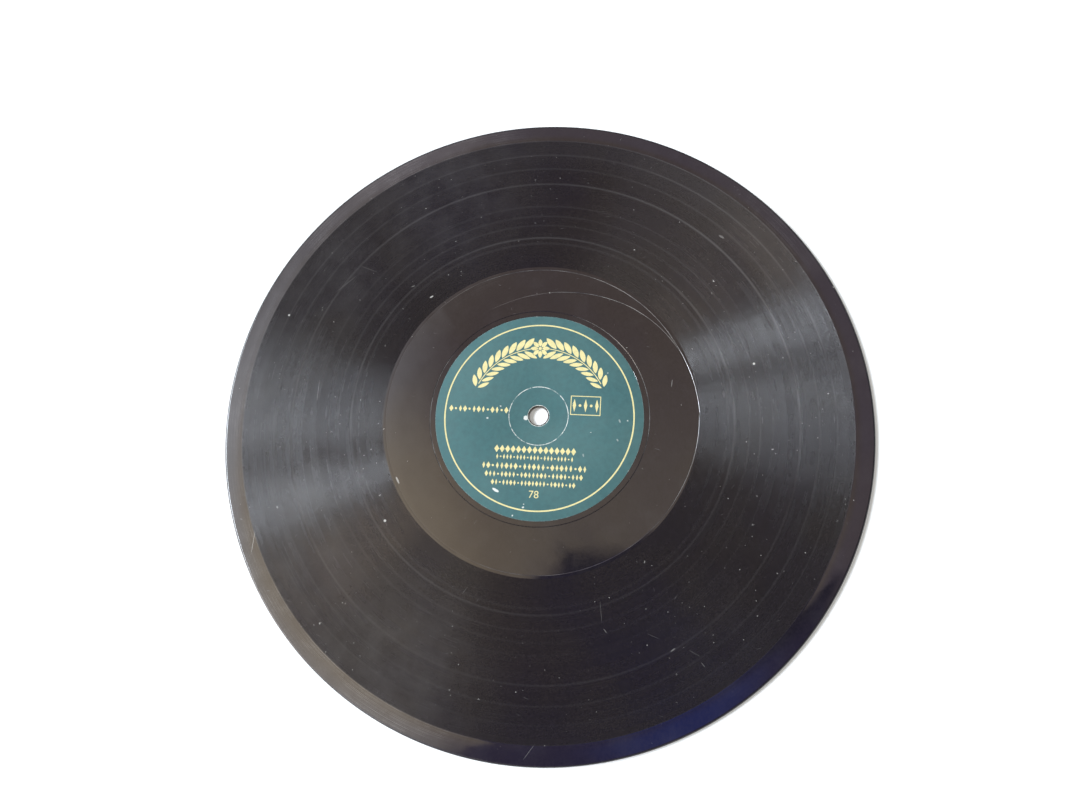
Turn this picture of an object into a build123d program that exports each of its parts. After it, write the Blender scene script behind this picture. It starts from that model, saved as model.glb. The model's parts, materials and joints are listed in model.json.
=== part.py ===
from build123d import *
import os

# A ten-inch shellac record lying flat with side A up. The spindle hole is on the Z axis and the
# underside is at Z = 0. The disc is a laminated pressing: a slab of coarse stock, a sheet of
# barrier paper on each side of it, a fine playing face on each paper and a label in each face.

# Outline of the pressed disc
disc_diameter = 250.0
disc_thickness = 2.2
bore_diameter = 7.3
rim_rounding = 0.9

# Layers, the same on both sides of the core
face_thickness = 0.3
paper_thickness = 0.12

# Label, pressed flush into the playing face
label_diameter = 80.5
label_thickness = 0.1
label_edge_gap = 0.05
label_hole_setback = 0.4

# Step that the die leaves round the middle of the label
step_radius = 11.6
step_depth = 0.06
step_slope_width = 0.3

# Narrow ring that the press leaves in the face, just outside the label
ring_gap = 2.1
ring_width = 0.5
ring_depth = 0.12

disc_radius = disc_diameter / 2
bore_radius = bore_diameter / 2
label_radius = label_diameter / 2
label_hole_radius = bore_radius + label_hole_setback
seat_radius = label_radius + label_edge_gap
ring_radius = label_radius + ring_gap

# Heights of side A, from the top down, and of the core
top = disc_thickness
seat_floor = top - label_thickness
step_top = top - step_depth
step_floor = seat_floor - step_depth
face_bottom = top - face_thickness
paper_bottom = face_bottom - paper_thickness
core_bottom = face_thickness + paper_thickness
middle_plane = Plane.XY.offset(disc_thickness / 2)


def layer_section(low, high):
    """Half of the disc's cross-section between two heights, from the bore to the rounded rim."""
    with BuildSketch(Plane.XZ) as section:
        with Locations((bore_radius, 0)):
            Rectangle(disc_radius - bore_radius, disc_thickness, align=(Align.MIN, Align.MIN))
        fillet(section.vertices().group_by(Axis.X)[-1], rim_rounding)
        with Locations((bore_radius, low)):
            Rectangle(disc_radius, high - low, align=(Align.MIN, Align.MIN), mode=Mode.INTERSECT)
    return section.sketch


with BuildPart() as core_slab:
    add(layer_section(core_bottom, paper_bottom))
    revolve(axis=Axis.Z)

with BuildPart() as barrier_paper_a:
    add(layer_section(paper_bottom, face_bottom))
    revolve(axis=Axis.Z)

with BuildPart() as playing_face_a:
    add(layer_section(face_bottom, top))
    revolve(axis=Axis.Z)
    # Seat of the label, with its shallow step towards the bore
    with BuildSketch(Plane.XZ):
        with BuildLine():
            Polyline(
                (0, top),
                (seat_radius, top),
                (seat_radius, seat_floor),
                (step_radius, seat_floor),
                (step_radius - step_slope_width, step_floor),
                (0, step_floor),
                close=True,
            )
        make_face()
    revolve(axis=Axis.Z, mode=Mode.SUBTRACT)
    # Pressed ring outside the label
    with BuildSketch(Plane.XZ):
        with BuildLine():
            Polyline(
                (ring_radius - ring_width / 2, top),
                (ring_radius, top - ring_depth),
                (ring_radius + ring_width / 2, top),
                close=True,
            )
        make_face()
    revolve(axis=Axis.Z, mode=Mode.SUBTRACT)

with BuildPart() as label_a:
    with BuildSketch(Plane.XZ):
        with BuildLine():
            Polyline(
                (label_hole_radius, step_top),
                (step_radius - step_slope_width, step_top),
                (step_radius, top),
                (label_radius, top),
                (label_radius, seat_floor),
                (step_radius, seat_floor),
                (step_radius - step_slope_width, step_floor),
                (label_hole_radius, step_floor),
                close=True,
            )
        make_face()
    revolve(axis=Axis.Z)

# Side B is side A turned over about the disc's middle plane
with BuildPart() as barrier_paper_b:
    mirror(barrier_paper_a.part, about=middle_plane)

with BuildPart() as playing_face_b:
    mirror(playing_face_a.part, about=middle_plane)

with BuildPart() as label_b:
    mirror(label_a.part, about=middle_plane)

pieces = {
    "core_slab": core_slab,
    "barrier_paper_a": barrier_paper_a,
    "barrier_paper_b": barrier_paper_b,
    "playing_face_a": playing_face_a,
    "playing_face_b": playing_face_b,
    "label_a": label_a,
    "label_b": label_b,
}

os.makedirs("parts", exist_ok=True)
for name, piece in pieces.items():
    piece.part.label = name
    export_step(piece.part, f"parts/{name}.step")

volume_cm3 = sum(piece.part.volume for piece in pieces.values()) / 1000
print(f"{len(pieces)} pieces, {volume_cm3:.2f} cubic centimetres in all")
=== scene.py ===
"""A ten-inch shellac record, lying flat with side A up on a pale studio floor."""

import json
import math

import bmesh
import bpy
from bpy.props import FloatProperty, FloatVectorProperty, IntProperty, PointerProperty
from mathutils import Matrix, Vector, noise


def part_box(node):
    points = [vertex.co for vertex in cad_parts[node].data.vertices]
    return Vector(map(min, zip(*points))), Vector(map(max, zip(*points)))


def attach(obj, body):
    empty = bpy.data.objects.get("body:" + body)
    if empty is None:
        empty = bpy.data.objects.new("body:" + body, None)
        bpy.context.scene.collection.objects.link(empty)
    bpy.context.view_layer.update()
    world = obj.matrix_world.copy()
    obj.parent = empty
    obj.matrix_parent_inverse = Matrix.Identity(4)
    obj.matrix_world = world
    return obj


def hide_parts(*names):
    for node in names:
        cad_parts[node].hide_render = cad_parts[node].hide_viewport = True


bl_info = {
    "name": "Shellac Record",
    "version": (1, 0, 0),
    "blender": (4, 5, 0),
    "location": "View3D > Sidebar > Record",
    "description": "Builds a shellac record with its grooves, labels and print, and a studio stage",
    "category": "Add Mesh",
}

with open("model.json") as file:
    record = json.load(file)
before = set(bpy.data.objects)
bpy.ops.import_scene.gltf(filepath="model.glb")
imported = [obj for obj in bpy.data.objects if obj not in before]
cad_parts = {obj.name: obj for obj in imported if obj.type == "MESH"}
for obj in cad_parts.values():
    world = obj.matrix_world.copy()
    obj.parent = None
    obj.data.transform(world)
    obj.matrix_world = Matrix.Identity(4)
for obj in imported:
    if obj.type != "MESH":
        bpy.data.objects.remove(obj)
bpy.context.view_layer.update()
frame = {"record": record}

MM = 0.001
BODY = "root"

# Places that the CAD frame gives
FACE_LOW, FACE_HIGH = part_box("playing_face_a")
PAPER_LOW, PAPER_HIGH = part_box("barrier_paper_a")
CORE_LOW, CORE_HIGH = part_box("core_slab")
LABEL_LOW, LABEL_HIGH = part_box("label_a")
THICKNESS = FACE_HIGH.z
DISC_RADIUS = CORE_HIGH.x
LABEL_RADIUS = LABEL_HIGH.x
SPINDLE = next(m for m in frame["record"]["mounts"] if m["name"] == "spindle_hole")
BORE_RADIUS = SPINDLE["dims"]["r_mm"] * MM

# Turns a piece made for side A over, to lie on side B
TURN_OVER = Matrix.Translation((0, 0, THICKNESS)) @ Matrix.Rotation(math.pi, 4, "X")


def length_property(name, description, default):
    """A size in metres."""
    return FloatProperty(
        name=name, description=description, default=default, min=0, precision=5,
        unit="LENGTH", subtype="DISTANCE",
    )


def colour_property(name, description, default):
    """A scene-linear colour."""
    return FloatVectorProperty(
        name=name, description=description, default=default, size=3, min=0, max=1,
        subtype="COLOR",
    )


class RecordDisc(bpy.types.PropertyGroup):
    """Sizes of the pressed disc and its groove."""

    rim_rounding: length_property("Rim rounding", "Radius of the rim's two edges", 0.9 * MM)
    band_outer: length_property("Band outer radius", "Where the groove starts", 118.0 * MM)
    band_inner: length_property("Band inner radius", "Where the recorded groove ends", 61.3 * MM)
    band_recess: length_property("Band recess", "How far the lands lie under the rim", 0.02 * MM)
    pitch: length_property("Groove pitch", "Distance from one turn to the next", 0.27 * MM)
    depth: length_property("Groove depth", "From land to groove bottom", 0.078 * MM)
    land: FloatProperty(
        name="Land", description="Share of the pitch that is flat land", default=0.3,
        min=0.1, max=0.9, subtype="FACTOR",
    )
    steps: IntProperty(
        name="Steps", description="Straight pieces in one turn of the groove", default=144,
        min=24, max=180,
    )


class RecordLabel(bpy.types.PropertyGroup):
    """Sizes of the paper label and its print."""

    hole_radius: length_property("Hole radius", "Hole in the label", 4.05 * MM)
    edge_gap: length_property("Edge gap", "Gap round the label in its seat", 0.05 * MM)
    step_radius: length_property("Step radius", "Edge of the pressed middle", 11.6 * MM)
    step_depth: length_property("Step depth", "How far the middle is pressed in", 0.06 * MM)
    step_slope: length_property("Step slope", "Width of the step's slope", 0.3 * MM)
    relief: length_property("Paper relief", "How far the paper lies under the face", 0.01 * MM)
    ink_bite: length_property("Ink bite", "How deep the ink sits in the paper", 0.002 * MM)
    ink_height: length_property("Ink height", "Thickness of the ink film", 0.011 * MM)
    ring_radius: length_property("Ring radius", "Printed ring", 36.5 * MM)
    ring_width: length_property("Ring width", "Width of the printed ring", 0.55 * MM)
    print_turn: FloatProperty(
        name="Print turn", description="How far the print is turned on the disc",
        default=math.radians(-3.5), subtype="ANGLE",
    )


class RecordLooks(bpy.types.PropertyGroup):
    """Colours and finishes."""

    shellac: colour_property("Shellac", "Black face stock", (0.0070, 0.0060, 0.0066))
    # The worn colour also paints the highlight and shade of the band's worn turns, and the dust colour
    # the glint of the plain part's grooves.
    worn: colour_property("Worn shellac", "Greyed turns and scratches", (0.13, 0.125, 0.125))
    dust: colour_property("Dust", "Specks of dust and lint", (0.62, 0.60, 0.57))
    paper: colour_property("Label paper", "Printed ground of the label", (0.054, 0.140, 0.146))
    bare: colour_property("Bare paper", "Paper under the print, where worn", (0.72, 0.74, 0.70))
    ink: colour_property("Ink", "Pale gold print", (0.80, 0.70, 0.34))
    core: colour_property("Core stock", "Coarse stock in the wall of the hole", (0.19, 0.165, 0.135))
    kraft: colour_property("Barrier paper", "Brown paper between the layers", (0.11, 0.075, 0.045))
    band_roughness: FloatProperty(
        name="Band roughness", description="Gloss of the grooved band", default=0.23,
        min=0, max=1, subtype="FACTOR",
    )
    plain_roughness: FloatProperty(
        name="Plain roughness", description="Gloss of the ungrooved face", default=0.07,
        min=0, max=1, subtype="FACTOR",
    )
    groove_sheen: FloatProperty(
        name="Groove sheen", description="How far the groove draws the highlight out",
        default=0.9, min=0, max=1, subtype="FACTOR",
    )


class RecordStage(bpy.types.PropertyGroup):
    """Floor, light and camera."""

    world_level: FloatProperty(
        name="World level", description="Strength of the even light", default=0.43, min=0,
    )
    tall_panel: FloatProperty(
        name="Narrow panel", description="Power of the narrow soft panel", default=171,
        min=0, subtype="POWER", unit="POWER",
    )
    wide_panel: FloatProperty(
        name="Wide panel", description="Power of the wide soft panel", default=216,
        min=0, subtype="POWER", unit="POWER",
    )
    lens: FloatProperty(
        name="Lens", description="Focal length on a 36 mm wide sensor", default=24.63,
        min=1, subtype="DISTANCE_CAMERA", unit="CAMERA",
    )
    floor: colour_property("Floor", "White table", (0.90, 0.90, 0.90))


# Mesh helpers

def verts_of(geometry):
    return [part for part in geometry if isinstance(part, bmesh.types.BMVert)]


def smooth_between(low, high, value):
    """0 below low and 1 above high, with a smooth change between them."""
    share = min(max((value - low) / (high - low), 0), 1)
    return share * share * (3 - 2 * share)


def along(stops, value):
    """The height of a line through (place, height) stops, straight from stop to stop."""
    for (low, start), (high, end) in zip(stops, stops[1:]):
        if value <= high:
            return start + (end - start) * min(max((value - low) / (high - low), 0), 1)
    return stops[-1][1]


def spin_outline(bm, outline, steps, closed=True):
    """Spins a cross-section of (radius, height) points round the spindle's axis.
    Each vertex keeps the number of its point, in the layer named ring."""
    ring = bm.verts.layers.int.get("ring") or bm.verts.layers.int.new("ring")
    ends = [bm.verts.new((radius, 0, height)) for radius, height in outline]
    for number, vert in enumerate(ends):
        vert[ring] = number
    pairs = list(zip(ends, ends[1:]))
    if closed:
        pairs.append((ends[-1], ends[0]))
    edges = [bm.edges.new(pair) for pair in pairs]
    bmesh.ops.spin(
        bm, geom=ends + edges, cent=(0, 0, 0), axis=(0, 0, 1), angle=math.tau,
        steps=steps, use_merge=True,
    )


def rim_angle(height):
    """How far round the rim's rounding a height lies, under 0 on the lower edge."""
    rounding = bpy.context.scene.record_disc.rim_rounding
    over = max(height - (THICKNESS - rounding), 0) - max(rounding - height, 0)
    return math.asin(max(min(over / rounding, 1), -1))


def rim_points(low, high, steps):
    """The rounded rim's points from height low up to height high."""
    rounding = bpy.context.scene.record_disc.rim_rounding
    start, end = rim_angle(low), rim_angle(high)
    parts = [(start, end)] if start * end >= 0 else [(start, 0), (0, end)]
    points = []
    for first, last in parts:
        middle = THICKNESS - rounding if max(first, last) > 0 else rounding
        for step in range(steps + 1):
            angle = first + (last - first) * step / steps
            radius = DISC_RADIUS - rounding * (1 - math.cos(angle))
            points.append((radius, middle + rounding * math.sin(angle)))
    return points


def mark_corners(bm, corner=math.radians(30)):
    """Shades every face smooth, up to edges that turn by more than the corner angle."""
    for face in bm.faces:
        face.smooth = True
    for edge in bm.edges:
        edge.smooth = edge.calc_face_angle(0) < corner


def flat_map(bm):
    """Lays the upper side flat on the whole map, and what is hidden in a corner of it."""
    uv = bm.loops.layers.uv.new("OFBake")
    bm.normal_update()
    for face in bm.faces:
        seen = face.normal.z > 0.05
        size = (0.49 if seen else 0.055) / DISC_RADIUS
        middle = 0.5 if seen else 0.07
        for loop in face.loops:
            loop[uv].uv = (middle + loop.vert.co.x * size, middle + loop.vert.co.y * size)


def add_piece(name, bm, materials, node=None, turned=False):
    """Makes the mesh a piece that rides on the record and may stand for a CAD node."""
    if turned:
        bmesh.ops.transform(bm, matrix=TURN_OVER, verts=bm.verts)
    mesh = bpy.data.meshes.new(name)
    bm.to_mesh(mesh)
    bm.free()
    for material in materials:
        mesh.materials.append(material)
    piece = bpy.data.objects.new(name, mesh)
    bpy.context.scene.collection.objects.link(piece)
    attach(piece, BODY)
    if node:
        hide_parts(node)
    return piece


# Node helpers


def put(tree, kind, inputs=None, **settings):
    """Adds a node, with its settings, and its inputs as values or as sockets to link."""
    made = tree.nodes.new(kind)
    for name, value in settings.items():
        setattr(made, name, value)
    for name, value in (inputs or {}).items():
        if isinstance(value, bpy.types.NodeSocket):
            tree.links.new(value, made.inputs[name])
        else:
            made.inputs[name].default_value = value
    return made


def calc(tree, operation, *values, clamp=False):
    """A Math node's result."""
    inputs = dict(enumerate(values))
    return put(tree, "ShaderNodeMath", inputs, operation=operation, use_clamp=clamp).outputs[0]


def vector_calc(tree, operation, *values):
    """A Vector Math node's result."""
    result = "Value" if operation in ("DISTANCE", "DOT_PRODUCT", "LENGTH") else "Vector"
    made = put(tree, "ShaderNodeVectorMath", operation=operation)
    for number, value in enumerate(values):
        if isinstance(value, bpy.types.NodeSocket):
            tree.links.new(value, made.inputs[number])
        else:
            made.inputs[number].default_value = value
    return made.outputs[result]


def spread(tree, value, from_low, from_high, to_low=0.0, to_high=1.0, ease="SMOOTHSTEP"):
    """A value's range stretched onto another range, and held inside it."""
    inputs = {
        "Value": value, "From Min": from_low, "From Max": from_high,
        "To Min": to_low, "To Max": to_high,
    }
    return put(tree, "ShaderNodeMapRange", inputs, interpolation_type=ease).outputs["Result"]


def blend(tree, share, first, second, kind="MIX"):
    """Two colours mixed by a share."""
    mix = put(tree, "ShaderNodeMix", data_type="RGBA", blend_type=kind)
    for socket, value in ((0, share), (6, first), (7, second)):
        if isinstance(value, bpy.types.NodeSocket):
            tree.links.new(value, mix.inputs[socket])
        elif socket:
            mix.inputs[socket].default_value = (*value, 1) if len(value) == 3 else value
        else:
            mix.inputs[socket].default_value = value
    return mix.outputs[2]


def cloud(tree, place, scale, detail=2.0, roughness=0.5, distortion=0.0):
    """A noise texture's value."""
    inputs = {
        "Vector": place, "Scale": scale, "Detail": detail, "Roughness": roughness,
        "Distortion": distortion,
    }
    return put(tree, "ShaderNodeTexNoise", inputs).outputs[0]


def new_group(name, inputs, outputs):
    """An empty node group. Its inputs are (name, kind, default) and its outputs (name, kind)."""
    tree = bpy.data.node_groups.new(name, "ShaderNodeTree")
    kinds = {"value": "NodeSocketFloat", "vector": "NodeSocketVector", "colour": "NodeSocketColor"}
    for label, kind, default in inputs:
        socket = tree.interface.new_socket(label, in_out="INPUT", socket_type=kinds[kind])
        if default is not None:
            socket.default_value = default
    for label, kind in outputs:
        tree.interface.new_socket(label, in_out="OUTPUT", socket_type=kinds[kind])
    start = tree.nodes.new("NodeGroupInput")
    end = tree.nodes.new("NodeGroupOutput")
    return tree, start, end


def use_group(tree, name, **inputs):
    """Places a shared effect in a material."""
    made = tree.nodes.new("ShaderNodeGroup")
    made.node_tree = bpy.data.node_groups[name]
    for label, value in inputs.items():
        socket = made.inputs[label.replace("_", " ")]
        if isinstance(value, bpy.types.NodeSocket):
            tree.links.new(value, socket)
        else:
            socket.default_value = value
    return made


def make_record_place():
    """Object coordinates in millimetres, the radius, and the direction from the spindle."""
    tree, start, end = new_group(
        "Record Place", [("Place", "vector", None)],
        [("Millimetres", "vector"), ("Radius", "value"), ("Along", "vector")],
    )
    scaled = put(tree, "ShaderNodeVectorMath", {0: start.outputs["Place"], "Scale": 1 / MM},
                 operation="SCALE").outputs["Vector"]
    flat = vector_calc(tree, "MULTIPLY", scaled, (1, 1, 0))
    radius = put(tree, "ShaderNodeVectorMath", {0: flat}, operation="LENGTH").outputs["Value"]
    unit = put(tree, "ShaderNodeSeparateXYZ", {0: vector_calc(tree, "NORMALIZE", flat)})
    whole = put(tree, "ShaderNodeSeparateXYZ", {0: scaled})
    around = put(tree, "ShaderNodeCombineXYZ", {
        "X": radius,
        "Y": calc(tree, "MULTIPLY", unit.outputs["X"], 10.0),
        "Z": calc(tree, "MULTIPLY_ADD", unit.outputs["Y"], 10.0, whole.outputs["Z"]),
    })
    tree.links.new(scaled, end.inputs["Millimetres"])
    tree.links.new(radius, end.inputs["Radius"])
    tree.links.new(around.outputs[0], end.inputs["Along"])


def make_dust():
    """Specks of dust of uneven size, few of them large."""
    tree, start, end = new_group(
        "Dust Specks",
        [("Place", "vector", None), ("Spacing", "value", 3.0), ("Size", "value", 0.5),
         ("Evenness", "value", 8.0)],
        [("Mask", "value")],
    )
    cells = put(tree, "ShaderNodeVectorMath",
                {0: start.outputs["Place"],
                 "Scale": calc(tree, "DIVIDE", 1.0, start.outputs["Spacing"])},
                operation="SCALE").outputs["Vector"]
    warp = put(tree, "ShaderNodeTexNoise",
               {"Vector": start.outputs["Place"], "Scale": 3.0, "Detail": 3.0})
    bent = put(tree, "ShaderNodeVectorMath", {0: warp.outputs["Color"], "Scale": 0.2},
               operation="SCALE").outputs["Vector"]
    points = put(tree, "ShaderNodeTexVoronoi", {
        "Vector": vector_calc(tree, "ADD", cells, bent), "Scale": 1.0, "Randomness": 1.0,
    }, voronoi_dimensions="2D")
    chance = put(tree, "ShaderNodeSeparateColor", {0: points.outputs["Color"]})
    share = calc(tree, "POWER", chance.outputs[0], start.outputs["Evenness"])
    gather = spread(tree, cloud(tree, start.outputs["Place"], 0.035, 2.0), 0.42, 0.58, 0.35, 1.0)
    share = calc(tree, "MULTIPLY", share, gather)
    reach = calc(tree, "MULTIPLY", share,
                 calc(tree, "DIVIDE", start.outputs["Size"], start.outputs["Spacing"]))
    gap = calc(tree, "SUBTRACT", reach, points.outputs["Distance"])
    edge = calc(tree, "DIVIDE", 0.08, start.outputs["Spacing"])
    mask = calc(tree, "DIVIDE", gap, edge, clamp=True)
    tree.links.new(mask, end.inputs["Mask"])


def make_scratches():
    """Short hair scratches that run one way, each in its own long thin cell."""
    tree, start, end = new_group(
        "Hair Scratches",
        [("Place", "vector", None), ("Turn", "value", 0.0), ("Length", "value", 14.0),
         ("Width", "value", 0.25), ("Share", "value", 0.1), ("Bend", "value", 1.5)],
        [("Mask", "value")],
    )
    wave = put(tree, "ShaderNodeTexNoise", {"Vector": start.outputs["Place"], "Scale": 0.05,
                                            "Detail": 1.0})
    bent = put(tree, "ShaderNodeVectorMath",
               {0: wave.outputs["Color"],
                "Scale": calc(tree, "MULTIPLY", start.outputs["Bend"], 4.0)},
               operation="SCALE").outputs["Vector"]
    turned = put(tree, "ShaderNodeVectorRotate", {
        "Vector": vector_calc(tree, "ADD", start.outputs["Place"], bent),
        "Angle": start.outputs["Turn"],
    }, rotation_type="Z_AXIS")
    apart = put(tree, "ShaderNodeSeparateXYZ", {0: turned.outputs[0]})
    cell = put(tree, "ShaderNodeCombineXYZ", {
        "X": calc(tree, "DIVIDE", apart.outputs["X"], start.outputs["Length"]),
        "Y": calc(tree, "DIVIDE", apart.outputs["Y"],
                  calc(tree, "MULTIPLY", start.outputs["Width"], 6.0)),
        "Z": apart.outputs["Z"],
    })
    points = put(tree, "ShaderNodeTexVoronoi", {"Vector": cell.outputs[0], "Scale": 1.0})
    near = spread(tree, points.outputs["Distance"], 0.02, 0.12, 1.0, 0.0)
    chance = put(tree, "ShaderNodeSeparateColor", {0: points.outputs["Color"]})
    kept = calc(tree, "LESS_THAN", chance.outputs[0], start.outputs["Share"])
    worn = calc(tree, "MULTIPLY", near, kept)
    strength = calc(tree, "MULTIPLY", worn, chance.outputs[1])
    tree.links.new(strength, end.inputs["Mask"])


def make_streaks():
    """Streaks that run true round the spindle, and the patches in which they show."""
    tree, start, end = new_group(
        "Turn Streaks", [("Along", "vector", None), ("Across", "value", 2.5)],
        [("Fine", "value"), ("Coarse", "value"), ("Patch", "value")],
    )
    apart = put(tree, "ShaderNodeSeparateXYZ", {0: start.outputs["Along"]})
    for label, share, detail in (("Fine", 1.0, 3.0), ("Coarse", 0.14, 2.0)):
        steps = calc(tree, "MULTIPLY", start.outputs["Across"], share)
        streak = put(tree, "ShaderNodeTexNoise", {
            "W": calc(tree, "MULTIPLY", apart.outputs["X"], steps), "Scale": 1.0,
            "Detail": detail, "Roughness": 0.7,
        }, noise_dimensions="1D")
        tree.links.new(streak.outputs[0], end.inputs[label])
    place = vector_calc(tree, "MULTIPLY", start.outputs["Along"], (0.13, 0.42, 0.42))
    patch = spread(tree, cloud(tree, place, 1.0, 3.0, 0.6), 0.38, 0.62)
    tree.links.new(patch, end.inputs["Patch"])


def make_mark():
    """One mark, a chip or a scratch, where it lies: its middle, its turn and its half sizes."""
    tree, start, end = new_group(
        "Single Mark",
        [("Place", "vector", None), ("Middle", "vector", None), ("Turn", "vector", None),
         ("Reach", "vector", None), ("Ragged", "value", 0.5), ("Strength", "value", 1.0)],
        [("Mask", "value")],
    )
    spot = put(tree, "ShaderNodeMapping", {
        "Vector": start.outputs["Place"], "Location": start.outputs["Middle"],
        "Rotation": start.outputs["Turn"], "Scale": start.outputs["Reach"],
    }, vector_type="TEXTURE").outputs[0]
    away = put(tree, "ShaderNodeVectorMath", {0: spot}, operation="LENGTH").outputs["Value"]
    away = calc(tree, "MULTIPLY_ADD", start.outputs["Ragged"], 0.7, away)
    mask = calc(tree, "MULTIPLY", spread(tree, away, 1.1, 1.4, 1.0, 0.0),
                start.outputs["Strength"])
    tree.links.new(mask, end.inputs["Mask"])


def make_fibre():
    """The pulp and fibre of pressed paper, as a mottle and a height."""
    tree, start, end = new_group(
        "Paper Fibre", [("Place", "vector", None), ("Scale", "value", 1.0)],
        [("Mottle", "value"), ("Height", "value")],
    )
    place = put(tree, "ShaderNodeVectorMath",
                {0: start.outputs["Place"], "Scale": start.outputs["Scale"]},
                operation="SCALE").outputs["Vector"]
    long_way = vector_calc(tree, "MULTIPLY", place, (1.0, 3.2, 1.0))
    tree.links.new(cloud(tree, place, 0.55, 6.0, 0.65), end.inputs["Mottle"])
    fine = cloud(tree, long_way, 2.6, 3.0, 0.6, 0.6)
    rough = cloud(tree, place, 5.5, 2.0, 0.5)
    tree.links.new(calc(tree, "MULTIPLY_ADD", rough, 0.5, fine), end.inputs["Height"])


def new_material(name):
    """A material with a Principled BSDF, its Object coordinates and the record's place."""
    material = bpy.data.materials.new(name)
    material.use_nodes = True
    tree = material.node_tree
    shader = tree.nodes["Principled BSDF"]
    place = put(tree, "ShaderNodeTexCoord").outputs["Object"]
    polar = use_group(tree, "Record Place", Place=place)
    return material, tree, shader, polar


def worn_mask(tree, millimetres, level=1.0):
    """Hair scratches in several directions, as one mask."""
    layers = ((0.35, 16.0, 0.22, 0.08), (1.25, 11.0, 0.2, 0.07), (2.2, 22.0, 0.25, 0.06),
              (2.9, 9.0, 0.18, 0.09))
    total = 0.0
    for number, (turn, length, width, share) in enumerate(layers):
        moved = vector_calc(tree, "ADD", millimetres, (31.0 * number, 17.0 * number, 5.0 * number))
        mask = use_group(tree, "Hair Scratches", Place=moved, Turn=turn, Length=length,
                         Width=width, Share=share * level).outputs["Mask"]
        total = mask if number == 0 else calc(tree, "MAXIMUM", total, mask)
    return total


def marks_mask(tree, millimetres, ragged, marks):
    """Single marks as one mask. Each is (x, y, length, width, turn, strength), in mm."""
    total = 0.0
    for number, (x, y, length, width, turn, strength) in enumerate(marks):
        mask = use_group(tree, "Single Mark", Place=millimetres, Middle=(x, y, 0),
                         Turn=(0, 0, turn), Reach=(length / 2, width / 2, 1e6), Ragged=ragged,
                         Strength=strength).outputs["Mask"]
        total = mask if number == 0 else calc(tree, "MAXIMUM", total, mask)
    return total


def haze_mask(tree, millimetres, hazes):
    """Soft, uneven patches of handling haze. Each is (x, y, reach, strength), in mm."""
    uneven = spread(tree, cloud(tree, millimetres, 0.11, 5.0, 0.65), 0.3, 0.7, 0.45, 1.5)
    total = 0.0
    for number, (x, y, reach, strength) in enumerate(hazes):
        away = vector_calc(tree, "DISTANCE", millimetres, (x, y, 0))
        near = spread(tree, away, reach * 0.15, reach, strength, 0.0)
        total = near if number == 0 else calc(tree, "MAXIMUM", total, near)
    return calc(tree, "MULTIPLY", total, uneven)


def shellac_colour(tree, polar, worn, dust):
    """Black stock with a slow drift between brown and violet, greyed where worn and pale with dust.
    The grey and the pale colour also carry the painted highlight, shade and glint that the callers mix
    into them.
    """
    looks = bpy.context.scene.record_looks
    base = Vector(looks.shellac)
    brown = base * 1.12 + Vector((0.0012, 0.0004, -0.0005))
    violet = base * 0.94 + Vector((0.0003, -0.0002, 0.0012))
    drift = cloud(tree, polar.outputs["Millimetres"], 0.03, 2.0, 0.5)
    colour = blend(tree, spread(tree, drift, 0.38, 0.62), brown, violet)
    speckle = spread(tree, cloud(tree, polar.outputs["Millimetres"], 1.7, 3.0, 0.7), 0.3, 0.7,
                     0.45, 1.6)
    colour = vector_calc(tree, "MULTIPLY", colour, speckle)
    colour = blend(tree, worn, colour, tuple(looks.worn))
    return blend(tree, dust, colour, tuple(looks.dust))


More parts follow.
